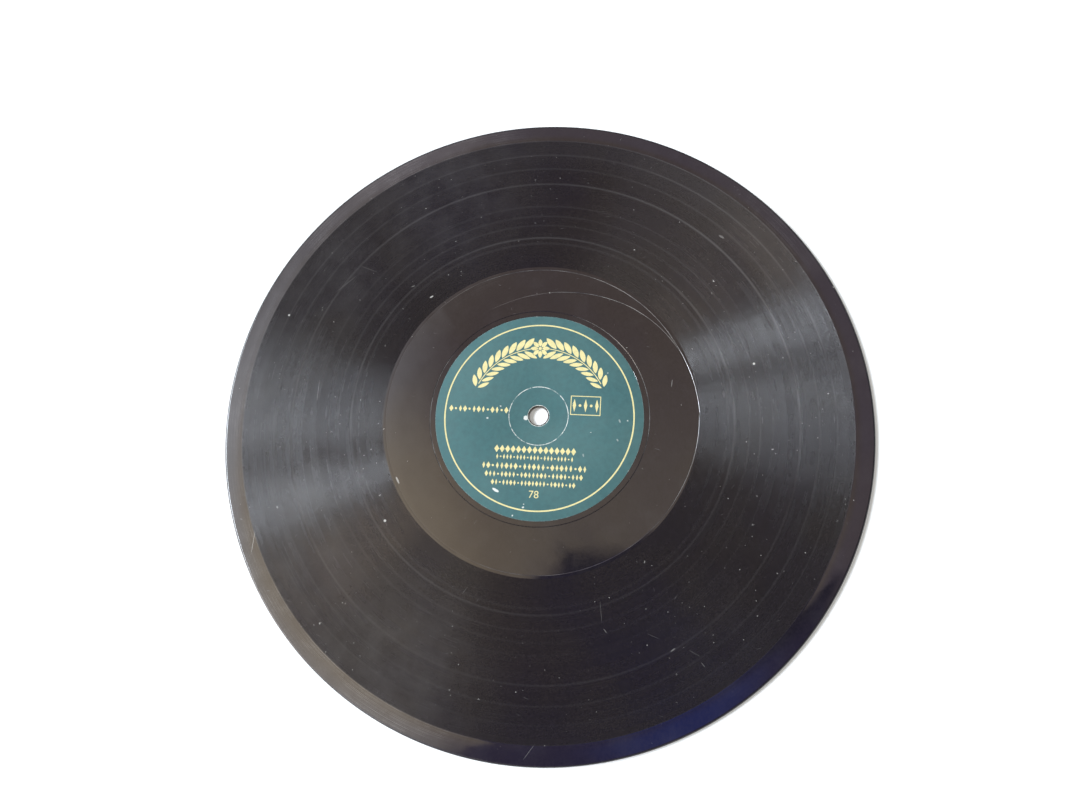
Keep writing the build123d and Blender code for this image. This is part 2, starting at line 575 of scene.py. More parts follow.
def make_band_material(name, rings, marks, hazes):
    """The grooved band. Rings are (radius in mm, width in mm, strength) of its worn turns, whose pale
    colour also carries painted shade towards the lower right and a painted highlight on the right.
    """
    looks = bpy.context.scene.record_looks
    material, tree, shader, polar = new_material(name)
    millimetres, radius = polar.outputs["Millimetres"], polar.outputs["Radius"]
    streaks = use_group(tree, "Turn Streaks", Along=polar.outputs["Along"], Across=2.6)
    patch = streaks.outputs["Patch"]
    ramp = put(tree, "ShaderNodeValToRGB",
               {"Fac": spread(tree, radius, 60.0, 120.0, ease="LINEAR")})
    stops = ramp.color_ramp.elements
    stops[0].position = 0.0
    stops[0].color = (0, 0, 0, 1)
    stops[1].position = 1.0
    stops[1].color = (0, 0, 0, 1)
    for middle, width, strength in rings:
        for offset, level in ((-1, 0.0), (0, strength), (1, 0.0)):
            stop = stops.new((middle + offset * width * 0.65 - 60.0) / 60.0)
            stop.color = (level, level, level, 1)
    slow = cloud(tree, polar.outputs["Along"], 0.12, 1.0)
    ring = calc(tree, "MULTIPLY", ramp.outputs["Color"], spread(tree, slow, 0.3, 0.6, 0.5, 1.0))
    # Painted shade: the worn turns are painted fainter towards the lower right, where less light
    # falls.
    slant = vector_calc(tree, "DOT_PRODUCT", millimetres, (0.5, -0.87, 0))
    away = spread(tree, slant, -20, 85, 1.0, 0.35)
    ring = calc(tree, "MULTIPLY", ring, away)
    # Painted highlight: the worn turns are painted paler on the right, where the light glints off
    # them.
    right = vector_calc(tree, "DOT_PRODUCT", millimetres, (0.98, 0.2, 0))
    ring = calc(tree, "MULTIPLY", ring, spread(tree, right, 45, 85, 1.0, 1.8))
    # Paler outer turns: partly worn, partly painted sheen, with the same painted shade towards the
    # lower right.
    outer = calc(tree, "MULTIPLY", spread(tree, radius, 100, 116, 0.0, 0.06), away)
    scratches = worn_mask(tree, millimetres)
    streak_wear = calc(tree, "MULTIPLY", patch,
                       spread(tree, streaks.outputs["Fine"], 0.5, 0.74, 0.0, 0.03))
    # The grey here is real scratches and worn turns together with the painted shade, highlight and
    # sheen above.
    worn = calc(tree, "MAXIMUM", calc(tree, "MULTIPLY", scratches, 0.7),
                calc(tree, "MULTIPLY_ADD", ring, 0.30, streak_wear))
    worn = calc(tree, "ADD", worn, outer)
    worn = calc(tree, "ADD", worn, haze_mask(tree, millimetres, hazes), clamp=True)
    dust = use_group(tree, "Dust Specks", Place=millimetres, Spacing=10.0, Size=0.34,
                     Evenness=10.0).outputs["Mask"]
    fine_dust = use_group(tree, "Dust Specks", Place=millimetres, Spacing=2.6, Size=0.22,
                          Evenness=9.0).outputs["Mask"]
    grain = cloud(tree, millimetres, 2.6, 2.0, 0.7)
    marked = marks_mask(tree, millimetres, grain, marks)
    all_dust = calc(tree, "MAXIMUM", calc(tree, "MAXIMUM", dust, marked),
                    calc(tree, "MULTIPLY", fine_dust, 0.6))
    tree.links.new(shellac_colour(tree, polar, worn, all_dust), shader.inputs["Base Color"])
    rough = spread(tree, streaks.outputs["Coarse"], 0.3, 0.7,
                   looks.band_roughness * 0.8, looks.band_roughness * 1.22, "LINEAR")
    rough = calc(tree, "MULTIPLY_ADD", calc(tree, "MULTIPLY", patch, streaks.outputs["Fine"]),
                 0.04, rough)
    mottle = spread(tree, cloud(tree, millimetres, 0.09, 4.0, 0.6), 0.35, 0.65, -0.03, 0.03)
    rough = calc(tree, "ADD", rough, mottle)
    rough = calc(tree, "MULTIPLY_ADD", ring, -0.05, rough)
    rough = calc(tree, "MULTIPLY_ADD", all_dust, 0.4, rough, clamp=True)
    tree.links.new(rough, shader.inputs["Roughness"])
    height = calc(tree, "MULTIPLY_ADD", streaks.outputs["Fine"], 0.12, grain)
    bump = put(tree, "ShaderNodeBump", {"Height": height, "Strength": 0.5,
                                        "Distance": 0.015 * MM})
    tree.links.new(bump.outputs[0], shader.inputs["Normal"])
    shader.inputs["Anisotropic"].default_value = looks.groove_sheen
    shader.inputs["Anisotropic Rotation"].default_value = 0.25
    shader.inputs["IOR"].default_value = 1.5
    shader.inputs["Specular IOR Level"].default_value = 0.42
    return material


def make_plain_material(name, marks, hazes):
    """The polished margin, run-out area, rim and seat. The grooves in it are painted pale: partly as
    worn grooves, partly as a painted glint where the light catches them.
    """
    looks = bpy.context.scene.record_looks
    material, tree, shader, polar = new_material(name)
    millimetres = polar.outputs["Millimetres"]
    scratches = worn_mask(tree, millimetres, 1.3)
    rubbed = spread(tree, cloud(tree, millimetres, 0.09, 4.0, 0.6), 0.45, 0.75, 0.0, 0.05)
    worn = calc(tree, "MAXIMUM", calc(tree, "MULTIPLY", scratches, 0.55), rubbed)
    streaks = use_group(tree, "Turn Streaks", Along=polar.outputs["Along"], Across=4.5)
    scuffs = calc(tree, "MULTIPLY", streaks.outputs["Patch"],
                  spread(tree, streaks.outputs["Fine"], 0.50, 0.66))
    hazy = haze_mask(tree, millimetres, hazes)
    worn = calc(tree, "MAXIMUM", worn, calc(tree, "MULTIPLY", scuffs, calc(
        tree, "MULTIPLY", hazy, 8.0, clamp=True)))
    worn = calc(tree, "ADD", worn, hazy, clamp=True)
    dust = use_group(tree, "Dust Specks", Place=millimetres, Spacing=5.0, Size=0.24,
                     Evenness=10.0).outputs["Mask"]
    pits = cloud(tree, millimetres, 2.4, 3.0, 0.6)
    marked = marks_mask(tree, millimetres, pits, marks)
    # Pale paint of the grooves, read from the mesh: partly worn, partly painted glint. It goes in with
    # the dust colour.
    cut = put(tree, "ShaderNodeAttribute", attribute_name="cut_wear_and_glint").outputs["Fac"]
    broken = spread(tree, cloud(tree, polar.outputs["Along"], 0.5, 4.0, 0.6), 0.4, 0.6, 0.25, 0.9)
    dust = calc(tree, "MAXIMUM", calc(tree, "MAXIMUM", dust, marked),
                calc(tree, "MULTIPLY", cut, broken))
    tree.links.new(shellac_colour(tree, polar, worn, dust), shader.inputs["Base Color"])
    smear = spread(tree, cloud(tree, millimetres, 0.12, 5.0, 0.62), 0.35, 0.7,
                   looks.plain_roughness * 0.75, looks.plain_roughness * 1.4)
    smear = calc(tree, "ADD", smear, spread(tree, polar.outputs["Radius"], 123.9, 124.5, 0, 0.3))
    off_ring = calc(tree, "ABSOLUTE", calc(tree, "SUBTRACT", polar.outputs["Radius"], 42.35))
    smear = calc(tree, "ADD", smear, spread(tree, off_ring, 0.1, 0.25, 0.2, 0.0))
    rough = calc(tree, "MULTIPLY_ADD", calc(tree, "MAXIMUM", scratches, dust), 0.35, smear,
                 clamp=True)
    tree.links.new(rough, shader.inputs["Roughness"])
    ripple = cloud(tree, millimetres, 0.08, 1.0)
    height = calc(tree, "MULTIPLY_ADD", pits, 0.006, ripple)
    bump = put(tree, "ShaderNodeBump", {"Height": height, "Strength": 0.5, "Distance": 0.10 * MM})
    tree.links.new(bump.outputs[0], shader.inputs["Normal"])
    shader.inputs["IOR"].default_value = 1.5
    shader.inputs["Specular IOR Level"].default_value = 0.8
    return material


def make_core_material():
    """Coarse stock: paler and browner in the hole's wall, dark and rubbed smooth at the rim."""
    looks = bpy.context.scene.record_looks
    material, tree, shader, polar = new_material("core_stock")
    millimetres = polar.outputs["Millimetres"]
    grit = cloud(tree, millimetres, 3.0, 5.0, 0.7)
    core = Vector(looks.core)
    wall = blend(tree, spread(tree, grit, 0.35, 0.65), core * 0.7, core * 1.3)
    rim = blend(tree, spread(tree, grit, 0.45, 0.75), tuple(looks.shellac),
                Vector(looks.shellac) * 3.2)
    outside = spread(tree, polar.outputs["Radius"], 8.0, 40.0)
    tree.links.new(blend(tree, outside, wall, rim), shader.inputs["Base Color"])
    rough = spread(tree, outside, 0.0, 1.0, 0.75, 0.32)
    tree.links.new(calc(tree, "MULTIPLY_ADD", grit, 0.2, rough, clamp=True),
                   shader.inputs["Roughness"])
    bump = put(tree, "ShaderNodeBump", {"Height": grit, "Strength": 0.4, "Distance": 0.08 * MM})
    tree.links.new(bump.outputs[0], shader.inputs["Normal"])
    shader.inputs["IOR"].default_value = 1.5
    return material


def make_kraft_material():
    """Brown barrier paper, soaked dark with shellac where it meets the rim."""
    looks = bpy.context.scene.record_looks
    material, tree, shader, polar = new_material("barrier_paper")
    fibre = use_group(tree, "Paper Fibre", Place=polar.outputs["Millimetres"], Scale=1.0)
    kraft = Vector(looks.kraft)
    dry = blend(tree, spread(tree, fibre.outputs["Mottle"], 0.3, 0.7), kraft * 0.8, kraft * 1.25)
    soaked = spread(tree, polar.outputs["Radius"], 90.0, 124.0)
    tree.links.new(blend(tree, soaked, dry, Vector(looks.shellac) * 1.4),
                   shader.inputs["Base Color"])
    tree.links.new(spread(tree, soaked, 0.0, 1.0, 0.85, 0.4), shader.inputs["Roughness"])
    bump = put(tree, "ShaderNodeBump", {"Height": fibre.outputs["Height"], "Strength": 0.3,
                                        "Distance": 0.03 * MM})
    tree.links.new(bump.outputs[0], shader.inputs["Normal"])
    return material


def make_label_material(name, chips):
    """Printed teal paper, with its bare patches."""
    looks = bpy.context.scene.record_looks
    sizes = bpy.context.scene.record_label
    material, tree, shader, polar = new_material(name)
    millimetres, radius = polar.outputs["Millimetres"], polar.outputs["Radius"]
    fibre = use_group(tree, "Paper Fibre", Place=millimetres, Scale=1.0)
    paper = Vector(looks.paper)
    colour = blend(tree, spread(tree, fibre.outputs["Mottle"], 0.28, 0.72), paper * 0.9,
                   paper * 1.1)
    faded = spread(tree, cloud(tree, millimetres, 0.035, 3.0, 0.5), 0.35, 0.7, 0.0, 0.16)
    colour = blend(tree, faded, colour, (0.17, 0.27, 0.25))
    ragged = cloud(tree, millimetres, 1.6, 4.0, 0.65)
    uneven = calc(tree, "MULTIPLY_ADD", ragged, 0.5, radius)
    hole = sizes.hole_radius / MM
    step = (sizes.step_radius - sizes.step_slope / 2) / MM
    edge = LABEL_RADIUS / MM
    torn = spread(tree, uneven, hole + 0.32, hole + 0.5, 1.0, 0.0)
    frayed = spread(tree, uneven, edge + 0.12, edge + 0.30, 0.0, 0.4)
    off_step = calc(tree, "ABSOLUTE", calc(tree, "SUBTRACT", radius, step))
    line = spread(tree, off_step, 0.07, 0.20, 1.0, 0.0)
    broken = spread(tree, cloud(tree, polar.outputs["Along"], 0.8, 4.0, 0.65), 0.4, 0.54, 0.1, 1.0)
    rubbed = calc(tree, "MULTIPLY", line, broken)
    specks = use_group(tree, "Dust Specks", Place=millimetres, Spacing=7.0, Size=0.4,
                       Evenness=9.0).outputs["Mask"]
    bare = calc(tree, "MAXIMUM", calc(tree, "MAXIMUM", torn, frayed),
                calc(tree, "MAXIMUM", rubbed, specks))
    bare = calc(tree, "MAXIMUM", bare, marks_mask(tree, millimetres, ragged, chips))
    grime = spread(tree, cloud(tree, millimetres, 0.3, 5.0, 0.7), 0.5, 0.8, 0.0, 0.35)
    colour = blend(tree, grime, colour, paper * 0.72)
    tree.links.new(blend(tree, bare, colour, tuple(looks.bare)), shader.inputs["Base Color"])
    tree.links.new(spread(tree, fibre.outputs["Mottle"], 0.2, 0.8, 0.62, 0.78),
                   shader.inputs["Roughness"])
    height = calc(tree, "MULTIPLY_ADD", bare, -0.5, fibre.outputs["Height"])
    bump = put(tree, "ShaderNodeBump", {"Height": height, "Strength": 0.5,
                                        "Distance": 0.045 * MM})
    tree.links.new(bump.outputs[0], shader.inputs["Normal"])
    shader.inputs["Specular IOR Level"].default_value = 0.35
    return material


def make_ink_material():
    """Pale gold ink, thin in places, so that the paper shows."""
    looks = bpy.context.scene.record_looks
    material, tree, shader, polar = new_material("gold_ink")
    millimetres = polar.outputs["Millimetres"]
    ink = Vector(looks.ink)
    tone = cloud(tree, millimetres, 0.5, 4.0, 0.6)
    colour = blend(tree, spread(tree, tone, 0.3, 0.7), ink * 0.92, ink * 1.06)
    thin = spread(tree, cloud(tree, millimetres, 2.8, 4.0, 0.7), 0.58, 0.7, 0.0, 0.5)
    thin = calc(tree, "MULTIPLY", thin,
                spread(tree, cloud(tree, millimetres, 0.12, 2.0), 0.35, 0.65, 0.35, 1.0))
    colour = blend(tree, thin, colour, tuple(looks.paper))
    tree.links.new(colour, shader.inputs["Base Color"])
    tree.links.new(spread(tree, tone, 0.2, 0.8, 0.5, 0.66), shader.inputs["Roughness"])
    bump = put(tree, "ShaderNodeBump", {"Height": tone, "Strength": 0.2, "Distance": 0.02 * MM})
    tree.links.new(bump.outputs[0], shader.inputs["Normal"])
    shader.inputs["Specular IOR Level"].default_value = 0.35
    return material


def make_floor_material():
    """White table, lifted a little for the camera so that it shows white but keeps shadows."""
    material = bpy.data.materials.new("white_floor")
    material.use_nodes = True
    tree = material.node_tree
    shader = tree.nodes["Principled BSDF"]
    shader.inputs["Base Color"].default_value = (*bpy.context.scene.record_stage.floor, 1)
    shader.inputs["Roughness"].default_value = 0.9
    shader.inputs["Specular IOR Level"].default_value = 0.0
    ray = put(tree, "ShaderNodeLightPath")
    seen = calc(tree, "MAXIMUM", ray.outputs["Is Camera Ray"], ray.outputs["Is Glossy Ray"])
    seen = calc(tree, "MAXIMUM", seen, ray.outputs["Is Transmission Ray"])
    shader.inputs["Emission Color"].default_value = (1, 1, 1, 1)
    place = put(tree, "ShaderNodeTexCoord").outputs["Object"]
    far = spread(tree, vector_calc(tree, "LENGTH", place), 0.3, 0.9, 0.16, 0.7)
    tree.links.new(calc(tree, "MULTIPLY", seen, far), shader.inputs["Emission Strength"])
    return material


# The groove and the playing faces


def wear_of(radius, side):
    """How deep the groove is cut at a radius, from turn to turn, round 1."""
    slow = noise.noise(Vector((radius / MM * 0.35, 4.7 * side, 1.3)))
    quick = noise.noise(Vector((radius / MM * 2.9, 9.1 * side, 6.1)))
    return 1 + 0.22 * slow + 0.25 * quick + 0.36 * smooth_between(94, 114, radius / MM)


def one_turn():
    """A ribbon of one turn of the groove: land, wall down and wall up, spun once round."""
    disc = bpy.context.scene.record_disc
    bm = bmesh.new()
    part = bm.verts.layers.int.new("part")
    end = bm.verts.layers.int.new("end")
    chain = [bm.verts.new((disc.band_outer - disc.pitch * number / 3, 0, 0)) for number in range(4)]
    for number, vert in enumerate(chain):
        vert[part] = number
    edges = [bm.edges.new(pair) for pair in zip(chain, chain[1:])]
    spun = bmesh.ops.spin(
        bm, geom=chain + edges, cent=(0, 0, 0), axis=(0, 0, 1), angle=math.tau,
        steps=disc.steps, use_merge=False,
    )
    for vert in verts_of(spun["geom_last"]):
        vert[end] = 1
    mesh = bpy.data.meshes.new("one_turn")
    bm.to_mesh(mesh)
    bm.free()
    return mesh


def cut_spiral(bm, side):
    """The recorded band: one groove that winds inwards, turn after turn of the same ribbon.
    The end of each turn meets the start of the next, one pitch further in."""
    disc = bpy.context.scene.record_disc
    turns = int((disc.band_outer - disc.band_inner) / disc.pitch + 0.5)
    ribbon = one_turn()
    for number in range(turns):
        bm.from_mesh(ribbon)
    per_turn = len(ribbon.vertices)
    bpy.data.meshes.remove(ribbon)
    part, end = (bm.verts.layers.int.get(name) for name in ("part", "end"))
    places = (0.0, disc.land, (1 + disc.land) / 2, 1.0)
    land_height = THICKNESS - disc.band_recess
    for number, vert in enumerate(bm.verts):
        turn = 1.0 if vert[end] else math.atan2(vert.co.y, vert.co.x) / math.tau % 1.0
        wound = number // per_turn + turn
        radius = disc.band_outer - disc.pitch * (wound + places[vert[part]])
        depth = 0.0
        if vert[part] == 2:
            fade = smooth_between(0, 0.06, wound) * smooth_between(0, 0.004, turns - wound)
            depth = disc.depth * fade * wear_of(radius, side)
        angle = math.tau * turn
        vert.co = (radius * math.cos(angle), radius * math.sin(angle), land_height - depth)
    bmesh.ops.remove_doubles(bm, verts=bm.verts, dist=1e-6)


def closing_radius(degrees):
    """Radius in mm of the closing ring, which meets the end of the recorded groove."""
    stops = ((0, 61.1), (10, 60.72), (20, 60.2), (28, 59.95), (300, 59.95), (330, 60.25),
             (350, 60.72), (357.6, 60.85), (360, 61.1))
    return along(stops, degrees)


def run_out_radius(degrees):
    """Radius in mm of the run-out groove, which leaves the closing ring inwards."""
    stops = ((0, 60.75), (10, 60.4), (20, 59.9), (28, 59.5), (38, 58.2), (50, 56.3), (62, 54.0),
             (75, 51.7), (90, 49.6), (105, 48.1), (120, 47.4), (135, 47.2), (160, 50.0),
             (200, 56.0), (230, 59.4), (320, 59.5), (345, 60.1), (357.6, 60.4), (360, 60.75))
    return along(stops, degrees)


def closing_depth(degrees):
    stops = ((0, 1), (70, 0.9), (110, 0.45), (138, 0.1), (235, 0.1), (255, 0.3), (300, 0.3),
             (325, 0.5), (345, 1), (360, 1))
    return along(stops, degrees)


def run_out_depth(degrees):
    return along(((0, 0), (24, 0), (30, 1), (62, 0.8), (90, 0.35), (122, 0), (360, 0)), degrees)


def ring_glint_paint(degrees):
    """How pale the bottom of the pressed ring is painted round the disc: a painted glint where the
    light catches it, and none elsewhere.
    """
    stops = ((0, 0.4), (55, 0.4), (72, 0), (140, 0), (152, 0.4), (205, 0.4), (218, 0), (338, 0),
             (350, 0.4), (360, 0.4))
    return along(stops, degrees)


def make_playing_face(name, side, materials, node, turned):
    """A playing face with its groove, run-out, pressed ring, label seat, bore and rim."""
    disc = bpy.context.scene.record_disc
    label = bpy.context.scene.record_label
    top, bottom = THICKNESS, FACE_LOW.z
    seat = LABEL_RADIUS + label.edge_gap
    floor = LABEL_LOW.z + label.step_depth
    lip, lip_out = 0.10 * MM, 0.13 * MM
    paths = {
        0: (closing_radius, lip, 0, None), 1: (closing_radius, 0, 0.045 * MM, closing_depth),
        2: (closing_radius, -lip, 0, None), 3: (run_out_radius, lip_out, 0, None),
        4: (run_out_radius, 0, 0.05 * MM, run_out_depth), 5: (run_out_radius, -lip_out, 0, None),
    }
    outline = [(59 * MM - number * lip, top) for number in range(6)]
    outline += [(46.2 * MM, top), (44.2 * MM, top)]
    ring_middle, ring_half = 42.35 * MM, 0.17 * MM
    outline += [(ring_middle + ring_half, top), (ring_middle + 0.03 * MM, top - 0.12 * MM),
                (ring_middle - 0.03 * MM, top - 0.12 * MM), (ring_middle - ring_half, top)]
    outline += [(seat + 0.5 * MM, top), (seat + 0.05 * MM, top), (seat, top - 0.03 * MM)]
    outline += [(seat, floor), (label.step_radius, floor),
                (label.step_radius - label.step_slope, floor - label.step_depth)]
    outline += [(BORE_RADIUS + 0.04 * MM, floor - label.step_depth),
                (BORE_RADIUS, floor - label.step_depth - 0.04 * MM), (BORE_RADIUS, bottom)]
    outline += rim_points(bottom, top, 12)
    outline += [(121.2 * MM, top), (disc.band_outer + 0.45 * MM, top),
                (disc.band_outer + 0.18 * MM, top - disc.band_recess)]
    bm = bmesh.new()
    spin_outline(bm, outline, disc.steps, closed=False)
    ring = bm.verts.layers.int.get("ring")
    # Pale paint of the grooves: the closing ring and run-out are partly worn and partly painted glint,
    # the pressed ring's bottom painted glint only.
    wear_and_glint = bm.verts.layers.float.new("cut_wear_and_glint")
    for vert in bm.verts:
        angle = math.atan2(vert.co.y, vert.co.x)
        degrees = math.degrees(angle) % 360
        if degrees > 359.9:
            degrees = 0.0
        if vert[ring] not in paths:
            # Painted glint: the pressed ring's bottom is painted pale only at the angles where the
            # light catches it.
            vert[wear_and_glint] = ring_glint_paint(degrees) if vert[ring] in (9, 10) else 0
            continue
        path, offset, depth, share = paths[vert[ring]]
        radius = path(degrees) * MM + offset
        height = top - (depth * share(degrees) if share else 0)
        # The closing ring and run-out are painted pale with their depth: partly worn groove, partly
        # painted glint.
        vert[wear_and_glint] = 0.75 * share(degrees) if share else 0
        vert.co = (radius * math.cos(angle), radius * math.sin(angle), height)
    for face in bm.faces:
        face.material_index = 1
    plain = bpy.data.meshes.new("plain_part")
    bm.to_mesh(plain)
    bm.free()
    bm = bmesh.new()
    cut_spiral(bm, side)
    bm.from_mesh(plain)
    bpy.data.meshes.remove(plain)
    halfway = (disc.band_outer + disc.band_inner) / 2
    open_edges = [edge for edge in bm.edges if edge.is_boundary]
    for outer in (True, False):
        pair = [e for e in open_edges if (e.verts[0].co.xy.length > halfway) == outer]
        made = bmesh.ops.bridge_loops(bm, edges=pair)
        for face in made["faces"]:
            face.material_index = 1
    bmesh.ops.recalc_face_normals(bm, faces=bm.faces)
    mark_corners(bm, math.radians(4.5))
    part = bm.verts.layers.int.get("part")
    for edge in bm.edges:
        if edge.verts[0][part] == edge.verts[1][part] == 2:
            edge.smooth = True
    flat_map(bm)
    return add_piece(name, bm, materials, node, turned)


# The label and its print


def make_label(name, side, material, node, turned):
    """A paper label that lies in its seat and follows the pressed step, with a torn hole."""
    sizes = bpy.context.scene.record_label
    top = THICKNESS - sizes.relief
    floor = LABEL_LOW.z + sizes.step_depth
    inner = sizes.step_radius - sizes.step_slope
    hole = sizes.hole_radius
    low_top, low_floor = top - sizes.step_depth, floor - sizes.step_depth
    outline = [
        (hole, low_floor), (hole, low_top - 0.02 * MM), (hole + 0.05 * MM, low_top),
        (hole + 1.2 * MM, low_top), (inner, low_top), (sizes.step_radius, top),
        (24 * MM, top), (LABEL_RADIUS - 0.08 * MM, top),
        (LABEL_RADIUS, top - 0.03 * MM), (LABEL_RADIUS, floor), (sizes.step_radius, floor),
        (inner, low_floor),
    ]
    bm = bmesh.new()
    spin_outline(bm, outline, 240)
    ring = bm.verts.layers.int.get("ring")
    for vert in bm.verts:
        flat = vert.co.xy
        if vert[ring] <= 2:
            torn = noise.noise(Vector((*flat * 900, 3.1 * side))) * 0.14 * MM
            torn += noise.noise(Vector((*flat * 3100, 7.7 * side))) * 0.05 * MM
            flat = flat.normalized() * (flat.length + torn)
        elif 7 <= vert[ring] <= 9:
            torn = noise.noise(Vector((*flat * 420, 1.9 * side))) * 0.03 * MM
            flat = flat.normalized() * (flat.length + min(torn, 0.01 * MM) - 0.01 * MM)
        vert.co.xy = flat
    bmesh.ops.recalc_face_normals(bm, faces=bm.faces)
    mark_corners(bm)
    flat_map_label(bm)
    return add_piece(name, bm, [material], node, turned)


def flat_map_label(bm):
    """As flat_map, at the label's own size."""
    uv = bm.loops.layers.uv.new("OFBake")
    bm.normal_update()
    for face in bm.faces:
        seen = face.normal.z > 0.05
        size = (0.49 if seen else 0.055) / LABEL_RADIUS
        middle = 0.5 if seen else 0.07
        for loop in face.loops:
            loop[uv].uv = (middle + loop.vert.co.x * size, middle + loop.vert.co.y * size)


def stamp(bm, verts, x, y, turn=0.0):
    """Moves a flat shape from the middle to its place in the print."""
    place = Matrix.Translation((x, y, 0)) @ Matrix.Rotation(turn, 4, "Z")
    bmesh.ops.transform(bm, matrix=place, verts=verts)


def add_lozenge(bm, x, y, width, height, turn=0.0, sides=4):
    """A lozenge, or with more sides a bead."""
    made = bmesh.ops.create_circle(bm, cap_ends=True, radius=0.5, segments=sides)
    bmesh.ops.scale(bm, verts=made["verts"], vec=(width, height, 1))
    stamp(bm, made["verts"], x, y, turn)


def add_leaf(bm, x, y, length, width, turn):
    """A pointed leaf along the direction turn."""
    made = bmesh.ops.create_circle(bm, cap_ends=True, radius=1, segments=16)
    for vert in made["verts"]:
        across = abs(vert.co.y)
        vert.co.y = math.copysign(across ** 1.7, vert.co.y) * width / 2
        vert.co.x *= length / 2
    stamp(bm, made["verts"], x, y, turn)


def add_arc(bm, inner, outer, start, end, steps):
    """A flat band of arc between two radii, from one angle in degrees to another."""
    ends = [bm.verts.new((radius, 0, 0)) for radius in (inner, outer)]
    edge = bm.edges.new(ends)
    turn = Matrix.Rotation(math.radians(start), 4, "Z")
    bmesh.ops.transform(bm, matrix=turn, verts=ends)
    full = end - start > 359.9
    bmesh.ops.spin(
        bm, geom=ends + [edge], cent=(0, 0, 0), axis=(0, 0, 1),
        angle=math.radians(end - start), steps=steps, use_merge=full,
    )


def add_bar(bm, x, y, width, height):
    """A straight bar."""
    made = bmesh.ops.create_grid(bm, x_segments=1, y_segments=1, size=0.5)
    bmesh.ops.scale(bm, verts=made["verts"], vec=(width, height, 1))
    stamp(bm, made["verts"], x, y)


def add_garland(bm, radius, start, end, pairs):
    """Two leafy twigs that bend round the top of the label and meet at a rosette."""
    middle = (start + end) / 2
    add_arc(bm, radius - 0.16 * MM, radius + 0.16 * MM, start, middle - 7.4, 24)
    add_arc(bm, radius - 0.16 * MM, radius + 0.16 * MM, middle + 7.4, end, 24)
    span = (end - start) / 2 - 9.5
    for number in range(pairs):
        share = number / (pairs - 1)
        for way in (1, -1):
            degrees = middle + way * (9.5 + span * share)
            angle = math.radians(degrees)
            along_stem = angle - way * math.pi / 2
            grown = 1.0 - 0.16 * share
            for reach in (1, -1):
                lean = along_stem + way * reach * math.radians(38)
                distance = radius + reach * 2.35 * MM * grown
                shift = angle - way * math.radians(0.9)
                add_leaf(bm, distance * math.cos(shift), distance * math.sin(shift),
                         5.8 * MM * grown, (2.0 + reach * 0.25) * MM * grown, lean)
    angle = math.radians(middle)
    centre = Vector((math.cos(angle), math.sin(angle))) * radius
    for petal in range(8):
        turn = math.tau * petal / 8 + angle
        add_leaf(bm, centre.x + 2.3 * MM * math.cos(turn), centre.y + 2.3 * MM * math.sin(turn),
                 3.0 * MM, 1.6 * MM, turn)
    add_lozenge(bm, centre.x, centre.y, 1.3 * MM, 1.3 * MM, sides=16)


def add_row(bm, middle, y, width, height, pitch, pattern):
    """A row of printer's ornaments. The pattern names each one: d lozenge, o bead, i thin
    lozenge and - dash, over and over, the same from both ends."""
    count = int(width / pitch) // 2 * 2 + 1
    for number in range(count):
        kind = pattern[abs(number - count // 2) % len(pattern)]
        x = middle + (number - count // 2) * pitch
        if kind == "d":
            add_lozenge(bm, x, y, pitch * 0.92, height)
        elif kind == "i":
            add_lozenge(bm, x, y, pitch * 0.62, height)
        elif kind == "-":
            add_bar(bm, x, y, pitch * 0.62, height * 0.3)
        else:
            bead = min(pitch * 0.5, height * 0.45)
            add_lozenge(bm, x, y, bead, bead, sides=12)


def add_numerals(bm, text, x, y, height):
    """Plain numerals, made a mesh and laid flat in the print."""
    curve = bpy.data.curves.new("numerals", "FONT")
    curve.body = text
    curve.size = height * 1.38
    curve.align_x = "CENTER"
    curve.align_y = "CENTER"
    curve.resolution_u = 6
    holder = bpy.data.objects.new("numerals", curve)
    bpy.context.scene.collection.objects.link(holder)
    bpy.context.view_layer.update()
    graph = bpy.context.evaluated_depsgraph_get()
    mesh = bpy.data.meshes.new_from_object(holder.evaluated_get(graph))
    bpy.data.objects.remove(holder)
    bpy.data.curves.remove(curve)
    before = set(bm.verts)
    bm.from_mesh(mesh)
    bpy.data.meshes.remove(mesh)
    new = [vert for vert in bm.verts if vert not in before]
    stamp(bm, new, x, y)
    bmesh.ops.remove_doubles(bm, verts=new, dist=2e-6)


def make_print(name, layout, material, turned):
    """All the print on one label, as thin solid ink."""
    sizes = bpy.context.scene.record_label
    bm = bmesh.new()
    half = sizes.ring_width / 2
    add_arc(bm, sizes.ring_radius - half, sizes.ring_radius + half, 0, 360, 240)
    add_garland(bm, **layout["garland"])
    for row in layout["rows"]:
        add_row(bm, *row)
    frame_x, frame_y, frame_w, frame_h, line = layout["frame"]
    for way in (-1, 1):
        add_bar(bm, frame_x, frame_y + way * (frame_h - line) / 2, frame_w, line)
        add_bar(bm, frame_x + way * (frame_w - line) / 2, frame_y, line, frame_h - 2 * line)
    add_numerals(bm, *layout["numerals"])
    grown = bmesh.ops.extrude_face_region(bm, geom=bm.faces[:])
    bmesh.ops.translate(bm, verts=verts_of(grown["geom"]), vec=(0, 0, sizes.ink_height))
    place = Matrix.Translation((0, 0, THICKNESS - sizes.relief - sizes.ink_bite))
    bmesh.ops.transform(bm, matrix=place @ Matrix.Rotation(sizes.print_turn, 4, "Z"), verts=bm.verts)
    bmesh.ops.recalc_face_normals(bm, faces=bm.faces)
    mark_corners(bm)
    return add_piece(name, bm, [material], turned=turned)


